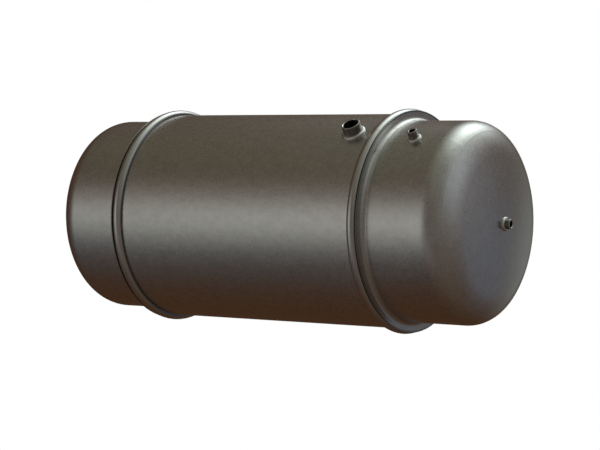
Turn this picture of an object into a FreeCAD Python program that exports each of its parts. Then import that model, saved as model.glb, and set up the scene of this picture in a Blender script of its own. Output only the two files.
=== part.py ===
import FreeCAD, Part
import math
import os

# A double-walled steel tank lying along X, in millimetres.
# The inner vessel holds one liquid, and a second liquid runs in the jacket around its middle.
# The origin is on the tank's axis, half way between its two heads.
# +X points to the front head, which carries a socket. +Z points to the sockets on the tank's back.

# Inner vessel: one rolled sheet, closed lengthwise by a seam weld
shell_od = 600.0
shell_wall = 4.0
shell_length = 1196.0

# Dished heads, butted to the ends of the inner vessel: a knuckle, a shoulder and a flatter crown
head_wall = 4.0
head_flange = 31.5
knuckle_radius = 71.0
shoulder_radius = 182.0
crown_radius = 900.0
shoulder_angle = 36.0

# Gaps between sheet edges, filled with weld metal
girth_weld_width = 4.0
seam_weld_width = 4.0
root_height = 1.0
shell_seam_angle = 295.0
jacket_seam_angle = 325.0

# Jacket: a second rolled sheet around the middle of the vessel
jacket_gap = 17.0
jacket_wall = 3.0

# Plain ends of the vessel, from the shell's end to the middle of the nearest bead ring
front_plain_end = 175.0
rear_plain_end = 161.0

# Half-round bars rolled into rings around the jacket's ends
bead_radius = 15.5

# Pressed rings that close the jacket's ends down to the inner vessel
crease_width = 2.0
crease_weld_height = 3.0
closure_wall = 3.0
lip_height = 11.0
cove_radius = 16.0
closure_end_angle = 215.0
foot_weld_runs = 3

# Pipe sockets: the bores are cut to the inner diameter of the pipe thread
large_socket_od = 56.0
large_socket_bore = 44.845
large_socket_mouth = 49.5
large_socket_stand = 32.0
large_weld_leg = 8.25
large_weld_height = 7.0

small_socket_od = 29.0
small_socket_bore = 18.631
small_socket_mouth = 21.6
small_socket_stand = 28.0
small_weld_leg = 6.5
small_weld_height = 6.0
head_socket_stand = 20.0

socket_inside = 2.0
socket_edge_round = 1.0

# The sockets' holes are bevelled for the weld, with a small gap at the root.
# The welds stand a little fuller than a quarter circle.
bevel_angle = 35.0
bevel_overrun = 3.0
root_gap = 0.6
weld_fullness = 1.06

# Places of the sockets: back from the middle of the nearest bead ring, or from the shell's end
flow_socket_back = 83.5
return_socket_back = 83.5
top_socket_back = 57.5

# Derived places
shell_r = shell_od / 2.0
jacket_inner_r = shell_r + jacket_gap
jacket_r = jacket_inner_r + jacket_wall
shell_end = shell_length / 2.0
head_start = shell_end + girth_weld_width
tangent_x = head_start + head_flange
front_bead_x = shell_end - front_plain_end
rear_bead_x = rear_plain_end - shell_end
rim_back = bead_radius + crease_width
front_jacket_end = front_bead_x + rim_back
rear_jacket_end = rear_bead_x - rim_back
rim_front = rim_back + closure_wall
lip_round = closure_wall / 2.0
lip_top = jacket_r + lip_height
cove_x = rim_front + cove_radius
cove_r = shell_r + cove_radius
cove_back_radius = cove_radius + closure_wall
flow_socket_x = front_bead_x - flow_socket_back
return_socket_x = rear_bead_x + return_socket_back
top_socket_x = shell_end - top_socket_back

# Angles around the centre of the closure ring's curve: its rim and the vessel's surface
RIM_ANGLE = 180.0
FOOT_ANGLE = 270.0
# The same share of a length along X and across it
DIAGONAL = math.cos(math.radians(45.0))

ORIGIN = FreeCAD.Vector(0, 0, 0)
AXIS_X = FreeCAD.Vector(1, 0, 0)
AXIS_Y = FreeCAD.Vector(0, 1, 0)
AXIS_Z = FreeCAD.Vector(0, 0, 1)


def at(x, r):
    """A point of a section through the tank's axis."""
    return FreeCAD.Vector(x, 0, r)


def line(a, b):
    return Part.LineSegment(a, b).toShape()


def arc(a, b, c):
    return Part.Arc(a, b, c).toShape()


def on_circle(x, r, radius, angle):
    """A point of a circle in the section, with the angle in degrees from +X towards +Z."""
    turn = math.radians(angle)
    return at(x + radius * math.cos(turn), r + radius * math.sin(turn))


def turned(edges):
    """A solid of revolution around the tank's axis."""
    return Part.Face(Part.Wire(edges)).revolve(ORIGIN, AXIS_X, 360)


def rear_twin(shape):
    """The same piece at the other end of the tank."""
    return shape.mirror(ORIGIN, AXIS_X)


def moved(shape, x):
    """A copy of a piece, moved along the tank."""
    copy = shape.copy()
    copy.translate(FreeCAD.Vector(x, 0, 0))
    return copy


def tube(outer_r, inner_r, x0, x1):
    start = FreeCAD.Vector(x0, 0, 0)
    outer = Part.makeCylinder(outer_r, x1 - x0, start, AXIS_X)
    return outer.cut(Part.makeCylinder(inner_r, x1 - x0, start, AXIS_X))


def seam_slot(outer_r, x0, x1, angle):
    """The straight gap between the two edges of a rolled sheet, at an angle from +Y towards +Z."""
    corner = FreeCAD.Vector(x0, 0, -seam_weld_width / 2.0)
    slot = Part.makeBox(x1 - x0, outer_r + seam_weld_width, seam_weld_width, corner)
    slot.rotate(ORIGIN, AXIS_X, angle)
    return slot


def rolled_sheet(outer_r, wall, x0, x1, angle):
    """A sheet rolled to a tube with an open seam, and the weld that fills its seam."""
    whole = tube(outer_r, outer_r - wall, x0, x1)
    slot = seam_slot(outer_r, x0, x1, angle)
    return whole.cut(slot), whole.common(slot)


def head_section(wall):
    """The edges of a dished head's section, from its flange to the tank's axis."""
    knuckle_r = shell_r - knuckle_radius
    step = shoulder_radius - knuckle_radius
    shoulder_x = tangent_x - step * math.cos(math.radians(shoulder_angle))
    shoulder_r = knuckle_r - step * math.sin(math.radians(shoulder_angle))
    crown_step = crown_radius - shoulder_radius
    crown_angle = math.degrees(math.asin(shoulder_r / crown_step))
    crown_x = shoulder_x - crown_step * math.cos(math.radians(crown_angle))

    def skin(depth):
        small = knuckle_radius - depth
        middle = shoulder_radius - depth
        large = crown_radius - depth
        return {
            "edge": at(head_start, shell_r - depth),
            "tangent": at(tangent_x, shell_r - depth),
            "knuckle": on_circle(tangent_x, knuckle_r, small, (90.0 + shoulder_angle) / 2.0),
            "turn": on_circle(tangent_x, knuckle_r, small, shoulder_angle),
            "shoulder": on_circle(shoulder_x, shoulder_r, middle, (shoulder_angle + crown_angle) / 2.0),
            "join": on_circle(crown_x, 0.0, large, crown_angle),
            "crown": on_circle(crown_x, 0.0, large, crown_angle / 2.0),
            "apex": at(crown_x + large, 0.0),
        }

    outside = skin(0.0)
    inside = skin(wall)
    edges = [
        line(outside["edge"], outside["tangent"]),
        arc(outside["tangent"], outside["knuckle"], outside["turn"]),
        arc(outside["turn"], outside["shoulder"], outside["join"]),
        arc(outside["join"], outside["crown"], outside["apex"]),
        line(outside["apex"], inside["apex"]),
        arc(inside["apex"], inside["crown"], inside["join"]),
        arc(inside["join"], inside["shoulder"], inside["turn"]),
        arc(inside["turn"], inside["knuckle"], inside["tangent"]),
        line(inside["tangent"], inside["edge"]),
        line(inside["edge"], outside["edge"]),
    ]
    return edges, outside["apex"].x


def head_girth_weld():
    """Weld metal between shell and head: flush outside, with a low root bead inside."""
    middle = shell_end + girth_weld_width / 2.0
    bore_r = shell_r - shell_wall
    head_bore_r = shell_r - head_wall
    root_r = min(bore_r, head_bore_r) - root_height
    return turned([
        line(at(shell_end, shell_r), at(head_start, shell_r)),
        line(at(head_start, shell_r), at(head_start, head_bore_r)),
        arc(at(head_start, head_bore_r), at(middle, root_r), at(shell_end, bore_r)),
        line(at(shell_end, bore_r), at(shell_end, shell_r)),
    ])


# The pieces at a jacket's end are drawn with the middle of their bead at X = 0 and the head towards +X

def bead_ring():
    """A half-round bar rolled into a ring, flat side on the jacket."""
    start = at(-bead_radius, jacket_r)
    crest = at(0.0, jacket_r + bead_radius)
    end = at(bead_radius, jacket_r)
    return turned([arc(start, crest, end), line(end, start)])


def cove_point(radius, angle):
    """A point of a circle around the centre of the closure ring's hollow curve."""
    return on_circle(cove_x, cove_r, radius, angle)


def closure_ring():
    """A pressed ring: an upright rim against the jacket's end, then a hollow curve towards the vessel."""
    rim_r = lip_top - lip_round
    end = closure_end_angle
    middle = (RIM_ANGLE + end) / 2.0
    return turned([
        line(at(rim_back, cove_r), at(rim_back, rim_r)),
        arc(at(rim_back, rim_r), at(rim_back + lip_round, lip_top), at(rim_front, rim_r)),
        line(at(rim_front, rim_r), at(rim_front, cove_r)),
        arc(at(rim_front, cove_r), cove_point(cove_radius, middle), cove_point(cove_radius, end)),
        line(cove_point(cove_radius, end), cove_point(cove_back_radius, end)),
        arc(cove_point(cove_back_radius, end), cove_point(cove_back_radius, middle), at(rim_back, cove_r)),
    ])


def closure_foot_weld():
    """The weld that carries the closure ring's curve on to the vessel, laid in runs and dressed smooth."""
    inner_edge = cove_point(cove_back_radius, closure_end_angle)
    outer_edge = cove_point(cove_radius, closure_end_angle)
    root = at(inner_edge.x, shell_r)
    edges = [line(root, inner_edge), line(inner_edge, outer_edge)]
    step = (FOOT_ANGLE - closure_end_angle) / foot_weld_runs
    for run in range(foot_weld_runs):
        start = closure_end_angle + run * step
        middle = cove_point(cove_radius, start + step / 2.0)
        edges.append(arc(cove_point(cove_radius, start), middle, cove_point(cove_radius, start + step)))
    run_out = cove_point(cove_radius, FOOT_ANGLE)
    edges.append(line(run_out, root))
    return turned(edges)


def crease_weld(bead):
    """The weld run in the crease between the bead ring, the jacket's end and the closure's rim."""
    left = bead_radius / 2.0
    top = jacket_r + crease_weld_height
    band = turned([
        line(at(left, jacket_r), at(rim_back, jacket_r)),
        line(at(rim_back, jacket_r), at(rim_back, top)),
        line(at(rim_back, top), at(left, top)),
        line(at(left, top), at(left, jacket_r)),
    ])
    return band.cut(bead)


# The sockets and their welds are drawn along Z, then turned to their places

def sagitta(wall_r, radius):
    """How far a round wall falls away below its crest at this distance from a radial axis."""
    return wall_r - math.sqrt(wall_r ** 2 - radius ** 2)


def socket(od, bore, mouth, z0, z1, x=0.0):
    """A pipe socket along Z: a turned tube with a countersunk mouth and a rounded rim."""
    outer = od / 2.0
    inner = bore / 2.0
    mouth_r = mouth / 2.0
    sink = mouth_r - inner
    edge = socket_edge_round
    bend = edge * DIAGONAL
    points = {
        "bottom_in": at(inner, z0),
        "bottom_out": at(outer, z0),
        "round_start": at(outer, z1 - edge),
        "round_middle": at(outer - edge + bend, z1 - edge + bend),
        "round_end": at(outer - edge, z1),
        "mouth": at(mouth_r, z1),
        "sink_end": at(inner, z1 - sink),
    }
    edges = [
        line(points["bottom_in"], points["bottom_out"]),
        line(points["bottom_out"], points["round_start"]),
        arc(points["round_start"], points["round_middle"], points["round_end"]),
        line(points["round_end"], points["mouth"]),
        line(points["mouth"], points["sink_end"]),
        line(points["sink_end"], points["bottom_in"]),
    ]
    return moved(Part.Face(Part.Wire(edges)).revolve(ORIGIN, AXIS_Z, 360), x)


def bevelled_hole(od, low, wall_crest, x=0.0):
    """A hole along Z that clears the socket by the root gap at height low, and opens outwards from there."""
    slope = math.tan(math.radians(bevel_angle))
    bottom = low - bevel_overrun
    top = wall_crest + bevel_overrun
    root_r = od / 2.0 + root_gap
    narrow = root_r - bevel_overrun * slope
    wide = root_r + (top - low) * slope
    return moved(Part.makeCone(narrow, wide, top - bottom, FreeCAD.Vector(0, 0, bottom), AXIS_Z), x)


def weld_blank(od, leg, height, low, wall_crest, x=0.0):
    """A full, rounded fillet around a socket, before the walls under it are taken away."""
    inner = od / 2.0
    toe = inner + leg
    bulge = DIAGONAL * weld_fullness
    crest = at(inner + leg * bulge, wall_crest + height * bulge)
    edges = [
        line(at(inner, low), at(toe, low)),
        line(at(toe, low), at(toe, wall_crest)),
        arc(at(toe, wall_crest), crest, at(inner, wall_crest + height)),
        line(at(inner, wall_crest + height), at(inner, low)),
    ]
    return moved(Part.Face(Part.Wire(edges)).revolve(ORIGIN, AXIS_Z, 360), x)


def back_socket(od, bore, mouth, stand, leg, height, wall_r, wall, x):
    """A socket set through a round wall along Z, its hole, and the weld around it."""
    inner_r = wall_r - wall
    low = inner_r - sagitta(inner_r, od / 2.0)
    body = socket(od, bore, mouth, low - socket_inside, wall_r + stand, x)
    hole = bevelled_hole(od, low, wall_r, x)
    reach = od / 2.0 + leg
    sheet = tube(wall_r, inner_r, x - reach, x + reach).cut(hole)
    inside = Part.makeCylinder(inner_r, 2.0 * reach, FreeCAD.Vector(x - reach, 0, 0), AXIS_X)
    # The blank starts low enough for the wall to fall away under its toe
    blank_low = inner_r - sagitta(wall_r, reach)
    weld = weld_blank(od, leg, height, blank_low, wall_r, x).cut(sheet).cut(inside)
    return body, hole, weld


def end_socket(plain_head, apex_x):
    """The socket in the front head, on the tank's axis, its hole, and the weld around it."""
    inner_crown = crown_radius - head_wall
    inner_apex = apex_x - head_wall
    low = inner_apex - sagitta(inner_crown, small_socket_od / 2.0)
    body = socket(
        small_socket_od, small_socket_bore, small_socket_mouth,
        low - socket_inside, apex_x + head_socket_stand
    )
    hole = bevelled_hole(small_socket_od, low, apex_x)
    blank_low = inner_apex - sagitta(crown_radius, small_socket_od / 2.0 + small_weld_leg)
    weld = weld_blank(small_socket_od, small_weld_leg, small_weld_height, blank_low, apex_x)
    for piece in (body, hole, weld):
        piece.rotate(ORIGIN, AXIS_Y, 90)
    inside = Part.makeSphere(inner_crown, FreeCAD.Vector(inner_apex - inner_crown, 0, 0))
    return body, hole, weld.cut(plain_head.cut(hole)).cut(inside)


def build():
    nodes = {}

    # The two small sockets of the inner vessel, and the two large ones of the jacket.
    # The second large one is turned to the underside.
    small = (small_socket_od, small_socket_bore, small_socket_mouth, small_socket_stand,
             small_weld_leg, small_weld_height, shell_r, shell_wall)
    large = (large_socket_od, large_socket_bore, large_socket_mouth, large_socket_stand,
             large_weld_leg, large_weld_height, jacket_r, jacket_wall)
    top_socket, top_hole, top_weld = back_socket(*small, top_socket_x)
    flow_socket, flow_hole, flow_weld = back_socket(*large, flow_socket_x)
    return_socket, return_hole, return_weld = back_socket(*large, return_socket_x)
    for piece in (return_socket, return_hole, return_weld):
        piece.rotate(ORIGIN, AXIS_X, 180)

    # The vessel's sheet and its seam
    shell, shell_seam = rolled_sheet(shell_r, shell_wall, -shell_end, shell_end, shell_seam_angle)
    nodes["inner_shell"] = shell.cut(top_hole)
    nodes["inner_shell_seam_weld"] = shell_seam

    # The heads and the welds that join them to the vessel
    edges, apex_x = head_section(head_wall)
    plain_head = turned(edges)
    head_socket, head_hole, head_socket_weld = end_socket(plain_head, apex_x)
    nodes["front_head"] = plain_head.cut(head_hole)
    nodes["rear_head"] = rear_twin(plain_head)
    girth = head_girth_weld()
    nodes["front_girth_weld"] = girth
    nodes["rear_girth_weld"] = rear_twin(girth)

    # The jacket's sheet and its seam
    jacket, jacket_seam = rolled_sheet(
        jacket_r, jacket_wall, rear_jacket_end, front_jacket_end, jacket_seam_angle
    )
    nodes["jacket_shell"] = jacket.cut(flow_hole).cut(return_hole)
    nodes["jacket_seam_weld"] = jacket_seam

    # The rings at the jacket's ends, with their welds
    bead = bead_ring()
    ring_pieces = {
        "bead_ring": bead,
        "closure_ring": closure_ring(),
        "crease_weld": crease_weld(bead),
        "foot_weld": closure_foot_weld(),
    }
    for name, piece in ring_pieces.items():
        nodes["front_" + name] = moved(piece, front_bead_x)
        nodes["rear_" + name] = moved(rear_twin(piece), rear_bead_x)

    nodes["flow_socket"] = flow_socket
    nodes["flow_socket_weld"] = flow_weld
    nodes["return_socket"] = return_socket
    nodes["return_socket_weld"] = return_weld
    nodes["top_socket"] = top_socket
    nodes["top_socket_weld"] = top_weld
    nodes["head_socket"] = head_socket
    nodes["head_socket_weld"] = head_socket_weld
    return nodes


os.makedirs("parts", exist_ok=True)
for node, shape in build().items():
    shape.exportStep("parts/" + node + ".step")
    print(node, "valid", shape.isValid(), "solids", len(shape.Solids), "volume", round(shape.Volume, 1))
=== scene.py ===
import math
import bpy
from mathutils import Matrix, Quaternion, Vector


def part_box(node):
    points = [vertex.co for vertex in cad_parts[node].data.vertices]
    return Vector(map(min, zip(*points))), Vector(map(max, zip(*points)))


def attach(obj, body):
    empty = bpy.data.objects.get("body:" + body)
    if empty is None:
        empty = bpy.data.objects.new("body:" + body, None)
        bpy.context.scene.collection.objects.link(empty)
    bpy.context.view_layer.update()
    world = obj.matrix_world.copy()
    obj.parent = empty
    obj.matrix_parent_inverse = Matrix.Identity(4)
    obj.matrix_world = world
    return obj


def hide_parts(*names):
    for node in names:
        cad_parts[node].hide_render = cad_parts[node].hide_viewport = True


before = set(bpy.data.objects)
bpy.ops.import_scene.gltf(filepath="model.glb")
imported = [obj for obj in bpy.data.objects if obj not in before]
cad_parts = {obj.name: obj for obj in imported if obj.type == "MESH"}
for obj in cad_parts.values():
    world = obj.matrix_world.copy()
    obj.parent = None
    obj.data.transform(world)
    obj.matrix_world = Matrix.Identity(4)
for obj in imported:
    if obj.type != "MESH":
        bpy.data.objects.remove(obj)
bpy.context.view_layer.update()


# Inner vessel
# One stainless sheet, rolled to a tube and welded along its length. Its two plain ends stand
# out of the jacket. The whole tank was blasted with fine glass beads after welding, which
# leaves an even grey satin with a fine mottle.

def satin_steel(name, dark, light, roughness, mottle_size, dent_depth):
    """Bead-blasted stainless steel: a fine mottle, faint clouds and shallow dents."""
    cloud_size = 4.0 * mottle_size
    cloud_share = 0.5
    darkest = 0.42
    lightest = 0.92
    gloss_spread = 0.04
    dents_in_a_mottle = 0.3
    dent_strength = 0.6
    drawn_out = (0.8, 1.0, 1.0)

    steel = bpy.data.materials.new(name)
    steel.use_nodes = True
    tree = steel.node_tree
    shader = tree.nodes["Principled BSDF"]
    shader.inputs["Metallic"].default_value = 1.0
    place = tree.nodes.new("ShaderNodeTexCoord")
    drawn = tree.nodes.new("ShaderNodeVectorMath")
    drawn.operation = "MULTIPLY"
    drawn.inputs[1].default_value = drawn_out
    tree.links.new(place.outputs["Object"], drawn.inputs[0])

    mottle = tree.nodes.new("ShaderNodeTexNoise")
    mottle.inputs["Scale"].default_value = 1.0 / mottle_size
    mottle.inputs["Detail"].default_value = 2.0
    mottle.inputs["Roughness"].default_value = 0.6
    tree.links.new(drawn.outputs["Vector"], mottle.inputs["Vector"])

    clouds = tree.nodes.new("ShaderNodeTexNoise")
    clouds.inputs["Scale"].default_value = 1.0 / cloud_size
    clouds.inputs["Detail"].default_value = 2.0
    tree.links.new(drawn.outputs["Vector"], clouds.inputs["Vector"])

    both = tree.nodes.new("ShaderNodeMath")
    both.operation = "MULTIPLY_ADD"
    both.inputs[1].default_value = cloud_share
    tree.links.new(clouds.outputs["Fac"], both.inputs[0])
    tree.links.new(mottle.outputs["Fac"], both.inputs[2])

    tone = tree.nodes.new("ShaderNodeValToRGB")
    tone.color_ramp.elements[0].position = darkest
    tone.color_ramp.elements[0].color = (*dark, 1.0)
    tone.color_ramp.elements[1].position = lightest
    tone.color_ramp.elements[1].color = (*light, 1.0)
    tree.links.new(both.outputs["Value"], tone.inputs["Fac"])
    tree.links.new(tone.outputs["Color"], shader.inputs["Base Color"])

    gloss = tree.nodes.new("ShaderNodeMapRange")
    gloss.inputs["From Min"].default_value = 0.3
    gloss.inputs["From Max"].default_value = 0.7
    gloss.inputs["To Min"].default_value = roughness - gloss_spread
    gloss.inputs["To Max"].default_value = roughness + gloss_spread
    tree.links.new(mottle.outputs["Fac"], gloss.inputs["Value"])
    tree.links.new(gloss.outputs["Result"], shader.inputs["Roughness"])

    dents = tree.nodes.new("ShaderNodeTexNoise")
    dents.inputs["Scale"].default_value = dents_in_a_mottle / mottle_size
    dents.inputs["Detail"].default_value = 2.0
    tree.links.new(drawn.outputs["Vector"], dents.inputs["Vector"])
    bump = tree.nodes.new("ShaderNodeBump")
    bump.inputs["Strength"].default_value = dent_strength
    bump.inputs["Distance"].default_value = dent_depth
    tree.links.new(dents.outputs["Fac"], bump.inputs["Height"])
    tree.links.new(bump.outputs["Normal"], shader.inputs["Normal"])
    return steel


def clad(node, material):
    """Give a piece that keeps its own form its material."""
    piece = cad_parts[node]
    piece.data.materials.clear()
    piece.data.materials.append(material)


vessel_steel = satin_steel("vessel_steel", (0.47, 0.46, 0.44), (0.63, 0.62, 0.60), 0.30, 0.005, 0.0003)
clad("inner_shell", vessel_steel)


# Heads
# Two flanged and dished heads, pressed from thicker sheet and butted to the ends of the vessel.
# They were blasted with the rest, so they share its satin. The rear one has no socket, and its
# skin runs unbroken over the middle.

head_steel = satin_steel("head_steel", (0.50, 0.49, 0.48), (0.61, 0.60, 0.59), 0.28, 0.006, 0.00005)
clad("front_head", head_steel)

head_wall = 0.004
flange_length = 0.0315
knuckle_size = 0.071
shoulder_size = 0.182
crown_size = 0.900
shoulder_angle = math.radians(36.0)
flange_start = -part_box("rear_head")[1][0]
flange_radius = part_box("rear_head")[1][2]
bend_steps = 16
crown_steps = 24
head_sides = 240


def head_arc(centre, height, size, start, end, steps):
    """The points of one arc after its start: place along the tank, distance from its axis."""
    points = []
    for step in range(1, steps + 1):
        angle = start + (end - start) * step / steps
        points.append((centre + size * math.cos(angle), height + size * math.sin(angle)))
    return points


def head_skin(depth):
    """One side of a head, a depth below its outside: flange, knuckle, shoulder and crown."""
    bend = flange_start + flange_length
    knuckle_height = flange_radius - knuckle_size
    shoulder_step = shoulder_size - knuckle_size
    shoulder_place = bend - shoulder_step * math.cos(shoulder_angle)
    shoulder_height = knuckle_height - shoulder_step * math.sin(shoulder_angle)
    crown_step = crown_size - shoulder_size
    crown_angle = math.asin(shoulder_height / crown_step)
    crown_place = shoulder_place - crown_step * math.cos(crown_angle)
    skin = [(flange_start, flange_radius - depth), (bend, flange_radius - depth)]
    upright_angle = math.radians(90.0)
    knuckle = knuckle_size - depth
    shoulder = shoulder_size - depth
    crown = crown_size - depth
    skin += head_arc(bend, knuckle_height, knuckle, upright_angle, shoulder_angle, bend_steps)
    skin += head_arc(shoulder_place, shoulder_height, shoulder, shoulder_angle, crown_angle, bend_steps)
    skin += head_arc(crown_place, 0.0, crown, crown_angle, 0.0, crown_steps)
    return skin


def pressed_head(node):
    """A head without a socket, closed all round, with a single corner at each middle."""
    outside = head_skin(0.0)
    inside = head_skin(head_wall)
    rows = len(outside) - 1
    outer_middle = 0
    inner_middle = 1
    corners = [(-outside[rows][0], 0.0, 0.0), (-inside[rows][0], 0.0, 0.0)]
    for i in range(head_sides):
        angle = math.tau * i / head_sides
        for skin in (outside, inside):
            for place, height in skin[:rows]:
                corners.append((-place, height * math.sin(angle), height * math.cos(angle)))
    faces = []
    for i in range(head_sides):
        out = 2 + 2 * rows * i
        out_next = 2 + 2 * rows * ((i + 1) % head_sides)
        into = out + rows
        into_next = out_next + rows
        for j in range(rows - 1):
            faces.append((out + j, out_next + j, out_next + j + 1, out + j + 1))
            faces.append((into + j, into + j + 1, into_next + j + 1, into_next + j))
        faces.append((out + rows - 1, out_next + rows - 1, outer_middle))
        faces.append((into + rows - 1, inner_middle, into_next + rows - 1))
        faces.append((into, into_next, out_next, out))
    mesh = bpy.data.meshes.new(node + "_pressed")
    mesh.from_pydata(corners, [], faces)
    mesh.update()
    mesh.shade_smooth()
    mesh.set_sharp_from_angle(angle=math.radians(40.0))
    mesh.materials.append(head_steel)
    head = bpy.data.objects.new(node + "_pressed", mesh)
    bpy.context.scene.collection.objects.link(head)
    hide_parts(node)
    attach(head, "root")


pressed_head("rear_head")


# Seam and girth welds
# Butt welds between sheet edges, ground flush and blasted over. Only a faint line of a finer
# mottle is left of them.

flush_weld = satin_steel("flush_weld", (0.48, 0.47, 0.45), (0.60, 0.59, 0.57), 0.27, 0.003, 0.00002)
for weld in ("inner_shell_seam_weld", "front_girth_weld", "rear_girth_weld", "jacket_seam_weld"):
    clad(weld, flush_weld)


# Jacket
# A second rolled sheet around the middle of the vessel, of the same blasted stainless. The
# second liquid runs between the two.

jacket_steel = satin_steel("jacket_steel", (0.465, 0.455, 0.435), (0.63, 0.62, 0.595), 0.30, 0.005, 0.0003)
clad("jacket_shell", jacket_steel)


# Bead rings
# Half-round bars rolled into rings around the jacket's ends. Rolling left them smoother
# than the sheets. Their feet are darkened with painted shade, for the crease beside them.

def paint_crease_shade(steel, unshaded_radius, shaded_radius, shade_level):
    """Darken a steel from one distance to another from the tank's axis: painted shade in a crease."""
    tree = steel.node_tree
    colour = tree.nodes["Principled BSDF"].inputs["Base Color"]
    unshaded_colour = colour.links[0].from_socket

    place = tree.nodes.new("ShaderNodeTexCoord")
    across = tree.nodes.new("ShaderNodeVectorMath")
    across.operation = "MULTIPLY"
    across.inputs[1].default_value = (0.0, 1.0, 1.0)
    tree.links.new(place.outputs["Object"], across.inputs[0])
    from_axis = tree.nodes.new("ShaderNodeVectorMath")
    from_axis.operation = "LENGTH"
    tree.links.new(across.outputs["Vector"], from_axis.inputs[0])

    # Painted shade: full colour at the first radius, darkened to the shade level at the second.
    shade_by_radius = tree.nodes.new("ShaderNodeMapRange")
    shade_by_radius.inputs["From Min"].default_value = unshaded_radius
    shade_by_radius.inputs["From Max"].default_value = shaded_radius
    shade_by_radius.inputs["To Min"].default_value = 1.0
    shade_by_radius.inputs["To Max"].default_value = shade_level
    tree.links.new(from_axis.outputs["Value"], shade_by_radius.inputs["Value"])

    shaded_colour = tree.nodes.new("ShaderNodeVectorMath")
    shaded_colour.operation = "SCALE"
    tree.links.new(unshaded_colour, shaded_colour.inputs[0])
    tree.links.new(shade_by_radius.outputs["Result"], shaded_colour.inputs["Scale"])
    tree.links.new(shaded_colour.outputs["Vector"], colour)


bead_steel = satin_steel("bead_steel", (0.52, 0.51, 0.50), (0.60, 0.59, 0.58), 0.25, 0.004, 0.00002)
# Painted shade at the bead's foot: its colour darkens inwards from the first radius to the second.
bead_unshaded_radius = 0.3290
bead_shaded_radius = 0.3230
bead_shade_level = 0.35
paint_crease_shade(bead_steel, bead_unshaded_radius, bead_shaded_radius, bead_shade_level)
for ring in ("front_bead_ring", "rear_bead_ring"):
    clad(ring, bead_steel)


# Closure rings
# Pressed rings that close the jacket's ends, hollow-curved down to the vessel and welded there.
# Their rims are darkened with painted shade for the crease beside them, more at the front.

closure_dark = (0.50, 0.49, 0.475)
closure_light = (0.60, 0.59, 0.575)
# Painted shade on the rim: its colour darkens outwards from the first radius to the second.
rim_unshaded_radius = 0.3240
rim_shaded_radius = 0.3275
for end, shade_level in (("front", 0.5), ("rear", 0.8)):
    closure_steel = satin_steel(end + "_closure_steel", closure_dark, closure_light, 0.28, 0.005, 0.00003)
    paint_crease_shade(closure_steel, rim_unshaded_radius, rim_shaded_radius, shade_level)
    clad(end + "_closure_ring", closure_steel)
    clad(end + "_foot_weld", closure_steel)


# Crease welds
# The low run in the crease between bead ring and closure ring. It wasn't dressed. Its steel is
# near black: painted shade for the deep crease.

# Painted shade: the crease weld is coloured near black for the shade in the crease.
crease_shade_steel = satin_steel("crease_shade_steel", (0.10, 0.095, 0.09), (0.20, 0.19, 0.18), 0.50, 0.003, 0.00015)
for weld in ("front_crease_weld", "rear_crease_weld"):
    clad(weld, crease_shade_steel)


# Pipe sockets
# Short turned sockets with an inner pipe thread, set through the wall and welded in. The rims
# are rounded and the mouths countersunk. The threads are cut right-handed and are painted
# black as painted shade in the bore, and the sides carry a painted dark reflection.

def loop_mesh(name, around, section, point):
    """A closed ring of a closed section: point(i, j) gives each corner in the tank's frame."""
    corners = [point(i, j) for i in range(around) for j in range(section)]
    faces = []
    for i in range(around):
        for j in range(section):
            a = i * section + j
            b = i * section + (j + 1) % section
            c = (i + 1) % around * section + (j + 1) % section
            d = (i + 1) % around * section + j
            faces.append((a, b, c, d))
    mesh = bpy.data.meshes.new(name)
    mesh.from_pydata(corners, [], faces)
    mesh.update()
    mesh.shade_smooth()
    mesh.set_sharp_from_angle(angle=math.radians(40.0))
    piece = bpy.data.objects.new(name, mesh)
    bpy.context.scene.collection.objects.link(piece)
    return piece


def own_box(node, turn):
    """The corners of a socket or collar as it lies when its mouth points straight up."""
    back = turn.inverted()
    low, high = (back @ Vector(corner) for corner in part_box(node))
    return [min(a, b) for a, b in zip(low, high)], [max(a, b) for a, b in zip(low, high)]


upright = Matrix.Identity(3)
upside_down = Matrix.Rotation(math.radians(180.0), 3, "X")
endways = Matrix.Rotation(math.radians(90.0), 3, "Y")

rim_steel = satin_steel("rim_steel", (0.50, 0.49, 0.48), (0.60, 0.59, 0.58), 0.24, 0.002, 0.00002)
# Painted dark reflection on the sockets' sides, and near-black painted shade on the threads in the bores.
dark_reflection_side_steel = satin_steel("dark_reflection_side_steel", (0.20, 0.195, 0.18), (0.28, 0.27, 0.25), 0.30, 0.002, 0.00002)
bore_shade_thread = satin_steel("bore_shade_thread", (0.010, 0.009, 0.008), (0.022, 0.020, 0.018), 0.50, 0.002, 0.00002)
rim_face, side_face, thread_face = range(3)
rim_round = 0.001
round_steps = 4
rows_in_a_turn = 8
thread_flat = 0.12
socket_sides = 96


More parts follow.
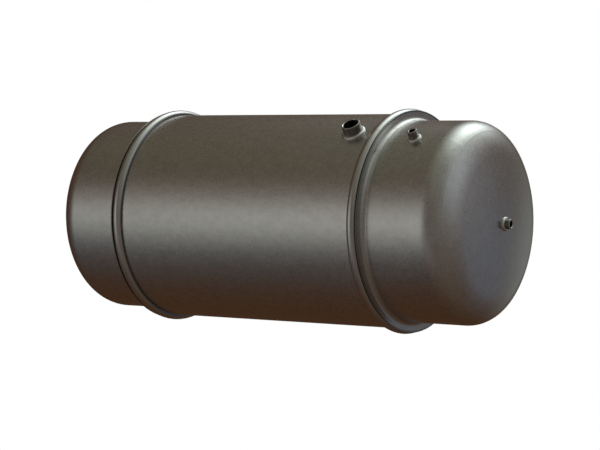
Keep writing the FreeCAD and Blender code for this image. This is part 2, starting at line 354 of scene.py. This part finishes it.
def pipe_socket(node, turn, core, pitch, depth, mouth):
    """A socket with its thread: core is the thread's inner radius, mouth the countersink's."""
    low, high = own_box(node, turn)
    middle_x = (low[0] + high[0]) / 2.0
    outer = (high[0] - low[0]) / 2.0
    bottom = low[2]
    top = high[2]
    sink_foot = top - (mouth - core)

    def groove(height, angle):
        """How far the thread is cut into the wall at this height and angle."""
        phase = (height / pitch - angle / (2.0 * math.pi)) % 1.0
        ramp = abs(2.0 * phase - 1.0)
        return depth * min(1.0, max(0.0, (ramp - thread_flat) / (1.0 - 2.0 * thread_flat)))

    rows = [("plain", outer, bottom)]
    for step in range(round_steps + 1):
        bend = math.radians(90.0 * step / round_steps)
        reach = outer - rim_round + rim_round * math.cos(bend)
        rise = top - rim_round + rim_round * math.sin(bend)
        rows.append(("plain", reach, rise))
    rows.append(("plain", mouth, top))
    thread_rows = round((top - bottom) / pitch * rows_in_a_turn)
    for step in range(1, thread_rows):
        rows.append(("cut", core, top - (top - bottom) * step / thread_rows))
    rows.append(("plain", core + depth, bottom))

    def point(i, j):
        angle = 2.0 * math.pi * i / socket_sides
        kind, radius, height = rows[j]
        if kind == "cut":
            cone = core + max(0.0, height - sink_foot)
            run_out = core + max(0.0, depth - (height - bottom))
            radius = max(core + groove(height, angle), cone, run_out)
        spot = Vector((middle_x + radius * math.cos(angle), radius * math.sin(angle), height))
        return turn @ spot

    piece = loop_mesh(node + "_turned", socket_sides, len(rows), point)
    for steel in (rim_steel, dark_reflection_side_steel, bore_shade_thread):
        piece.data.materials.append(steel)
    for face in piece.data.polygons:
        kind, radius, height = rows[face.index % len(rows)]
        # The threads in the bore take the near-black painted shade, the barrel and foot the painted dark
        # reflection.
        if kind == "cut" and height <= sink_foot:
            face.material_index = thread_face
        elif kind == "plain" and height == bottom:
            face.material_index = side_face
        else:
            face.material_index = rim_face
    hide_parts(node)
    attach(piece, "root")


large_thread = {"core": 0.0224225, "pitch": 0.002309, "depth": 0.001479, "mouth": 0.02475}
small_thread = {"core": 0.0093155, "pitch": 0.001814, "depth": 0.001162, "mouth": 0.0108}
pipe_socket("flow_socket", upright, **large_thread)
pipe_socket("return_socket", upside_down, **large_thread)
pipe_socket("top_socket", upright, **small_thread)
pipe_socket("head_socket", endways, **small_thread)


# Collar welds
# A full fillet run by hand around the foot of each socket, with the low ripples that the
# torch leaves. It follows the round wall under it.

# The weld's smoother finish is its own; its lighter colour is partly a painted highlight, to brighten its
# glints.
collar_steel_with_sheen = satin_steel("collar_steel_with_sheen", (0.56, 0.55, 0.53), (0.72, 0.71, 0.69), 0.19, 0.003, 0.00004)
ripple_length = 0.0034
ripple_height = 0.00022
ripple_lean = 2.4
points_in_a_ripple = 6
fillet_steps = 12
sunk = 0.0003


def collar_weld(node, socket, turn, wall_height):
    """The weld around a socket. wall_height(x, y) is the wall's surface under it."""
    low, high = own_box(node, turn)
    socket_low, socket_high = own_box(socket, turn)
    middle_x = (low[0] + high[0]) / 2.0
    toe = (high[0] - low[0]) / 2.0
    inner = (socket_high[0] - socket_low[0]) / 2.0
    leg = toe - inner
    crown = high[2] - wall_height(0.0, 0.0)
    ripples = round(2.0 * math.pi * toe / ripple_length)
    around = ripples * points_in_a_ripple

    def point(i, j):
        angle = 2.0 * math.pi * i / around
        if j <= fillet_steps:
            share = j / fillet_steps
            bend = math.radians(90.0) * share
            wave = ripple_height * math.sin(ripples * angle + ripple_lean * share) * math.sin(2.0 * bend)
            radius = inner + (leg + wave) * math.cos(bend)
            lift = (crown + wave) * math.sin(bend)
        elif j == fillet_steps + 1:
            radius = inner - sunk
            lift = crown
        elif j == fillet_steps + 2:
            radius = inner - sunk
            lift = -sunk
        else:
            radius = toe - sunk
            lift = -sunk
        x = radius * math.cos(angle)
        y = radius * math.sin(angle)
        return turn @ Vector((middle_x + x, y, wall_height(x, y) + lift))

    piece = loop_mesh(node + "_run", around, fillet_steps + 4, point)
    piece.data.materials.append(collar_steel_with_sheen)
    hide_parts(node)
    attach(piece, "root")


jacket_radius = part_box("jacket_shell")[1][2]
vessel_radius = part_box("inner_shell")[1][2]
dish_top = -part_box("rear_head")[0][0]


def on_jacket(x, y):
    """The jacket's surface under a socket that stands on it."""
    return math.sqrt(jacket_radius ** 2 - y ** 2)


def on_vessel(x, y):
    """The vessel's surface under a socket that stands on it."""
    return math.sqrt(vessel_radius ** 2 - y ** 2)


def on_dish(x, y):
    """The head's surface around its middle."""
    return dish_top - crown_size + math.sqrt(crown_size ** 2 - x ** 2 - y ** 2)


collar_weld("flow_socket_weld", "flow_socket", upright, on_jacket)
collar_weld("return_socket_weld", "return_socket", upside_down, on_jacket)
collar_weld("top_socket_weld", "top_socket", upright, on_vessel)
collar_weld("head_socket_weld", "head_socket", endways, on_dish)


# Floor and walls
# A plain white floor under the tank and a white dome around it. They light nothing and don't
# show in the steel, so that the satin shows only the studio's soft lights.

def bright_white(name, level):
    """A paint that looks evenly white from any side."""
    paint = bpy.data.materials.new(name)
    paint.use_nodes = True
    tree = paint.node_tree
    tree.nodes.remove(tree.nodes["Principled BSDF"])
    glow = tree.nodes.new("ShaderNodeEmission")
    glow.inputs["Color"].default_value = (level, level, level, 1.0)
    tree.links.new(glow.outputs["Emission"], tree.nodes["Material Output"].inputs["Surface"])
    return paint


def backdrop(piece, level):
    """Paint a wall or floor and keep it out of the steel's reflections."""
    piece.data.materials.append(bright_white(piece.name + "_paint", level))
    piece.visible_glossy = False
    piece.visible_diffuse = False
    piece.visible_transmission = False
    piece.visible_shadow = False


floor_drop = 0.9
studio_size = 60.0
floor_place = (0.0, 0.0, -floor_drop)
bpy.ops.mesh.primitive_circle_add(vertices=96, radius=studio_size, fill_type="NGON", location=floor_place)
bpy.context.object.name = "floor"
backdrop(bpy.context.object, 1.0)
bpy.ops.mesh.primitive_uv_sphere_add(segments=48, ring_count=24, radius=studio_size)
bpy.context.object.name = "dome"
backdrop(bpy.context.object, 1.0)


# Studio light
# Soft lights around the tank, each a broad glow in one direction: a long one at the left
# front, a strong one high behind, weaker ones at the right, and a brown floor's reflection.

world = bpy.data.worlds.new("soft_studio")
bpy.context.scene.world = world
world.use_nodes = True
air = world.node_tree
sky = air.nodes["Background"]
look = air.nodes.new("ShaderNodeTexCoord")
tank_turn = math.radians(37.5)


def studio_direction(along, up, near):
    """A direction given along the tank, up in the picture and towards the viewer."""
    y = up * math.sin(tank_turn) - near * math.cos(tank_turn)
    z = up * math.cos(tank_turn) + near * math.sin(tank_turn)
    return Vector((along, y, z)).normalized()


def soft_light(direction, tightness, colour, below):
    """Add a round glow to the studio: colour * exp(tightness * (cosine - 1))."""
    facing = air.nodes.new("ShaderNodeVectorMath")
    facing.operation = "DOT_PRODUCT"
    facing.inputs[1].default_value = direction
    air.links.new(look.outputs["Generated"], facing.inputs[0])
    fall = air.nodes.new("ShaderNodeMath")
    fall.operation = "MULTIPLY_ADD"
    fall.inputs[1].default_value = tightness
    fall.inputs[2].default_value = -tightness
    air.links.new(facing.outputs["Value"], fall.inputs[0])
    level = air.nodes.new("ShaderNodeMath")
    level.operation = "EXPONENT"
    air.links.new(fall.outputs["Value"], level.inputs[0])
    added = air.nodes.new("ShaderNodeVectorMath")
    added.operation = "MULTIPLY_ADD"
    added.inputs[0].default_value = colour
    air.links.new(level.outputs["Value"], added.inputs[1])
    air.links.new(below, added.inputs[2])
    return added.outputs["Vector"]


# The brown floor of the studio, which shows faintly everywhere
brown = air.nodes.new("ShaderNodeCombineXYZ")
for channel, share in zip("XYZ", (0.0654, 0.0263, 0.0088)):
    brown.inputs[channel].default_value = share
brown_floor = brown.outputs["Vector"]


# A panel beside the camera's left, for the long highlight along the tank
glow = soft_light(studio_direction(-0.521, -0.041, 0.853), 14.5, (0.494, 0.527, 0.507), brown_floor)
# The strongest panel, above and behind, for the white edge of the head and the rings
glow = soft_light(studio_direction(0.015, 0.736, -0.677), 23.7, (1.948, 2.169, 2.266), glow)
# A narrow panel low behind the tank
glow = soft_light(studio_direction(0.083, -0.084, -0.993), 31.1, (0.185, 0.241, 0.244), glow)
# A very wide glow in front of the head
glow = soft_light(studio_direction(0.838, 0.113, 0.534), 1.5, (0.094, 0.118, 0.115), glow)
# A panel high behind the head
glow = soft_light(studio_direction(0.857, 0.444, -0.260), 11.0, (0.310, 0.351, 0.401), glow)
# A weak cold glow from the floor in front
glow = soft_light(studio_direction(0.107, -0.490, 0.865), 18.1, (0.076, 0.085, 0.112), glow)
# A weak cold glow from the floor at the left
glow = soft_light(studio_direction(-0.706, -0.459, 0.540), 8.3, (0.000, 0.034, 0.057), glow)
# A weak panel level behind the head
glow = soft_light(studio_direction(0.620, -0.154, -0.769), 19.9, (0.056, 0.100, 0.149), glow)
# A wide glow overhead
glow = soft_light(studio_direction(0.100, 0.978, 0.185), 3.5, (0.139, 0.179, 0.149), glow)
# A panel high over the tank, beside the strongest
glow = soft_light(studio_direction(0.199, 0.891, -0.408), 13.5, (1.121, 1.265, 1.174), glow)

air.links.new(glow, sky.inputs["Color"])
bpy.context.scene.view_settings.view_transform = "Standard"


# Camera
# A long lens from the right front and above, rolled so that the tank lies almost level in the
# picture.

aim = Vector((0.0176, -0.0030, -0.0238))
camera_distance = 6.362
camera_side = math.radians(-49.186)
camera_height = math.radians(30.145)
camera_roll = math.radians(-21.708)
lens_length = 123.3
film_width = 36.0
farthest_seen = 200.0

offset = Vector((
    math.cos(camera_height) * math.cos(camera_side),
    math.cos(camera_height) * math.sin(camera_side),
    math.sin(camera_height),
))
view = bpy.data.objects.new("camera", bpy.data.cameras.new("camera"))
bpy.context.scene.collection.objects.link(view)
view.location = aim + offset * camera_distance
view.rotation_mode = "QUATERNION"
view.rotation_quaternion = (-offset).to_track_quat("-Z", "Y") @ Quaternion((0.0, 0.0, 1.0), camera_roll)
view.data.lens = lens_length
view.data.sensor_width = film_width
view.data.clip_end = farthest_seen
bpy.context.scene.camera = view
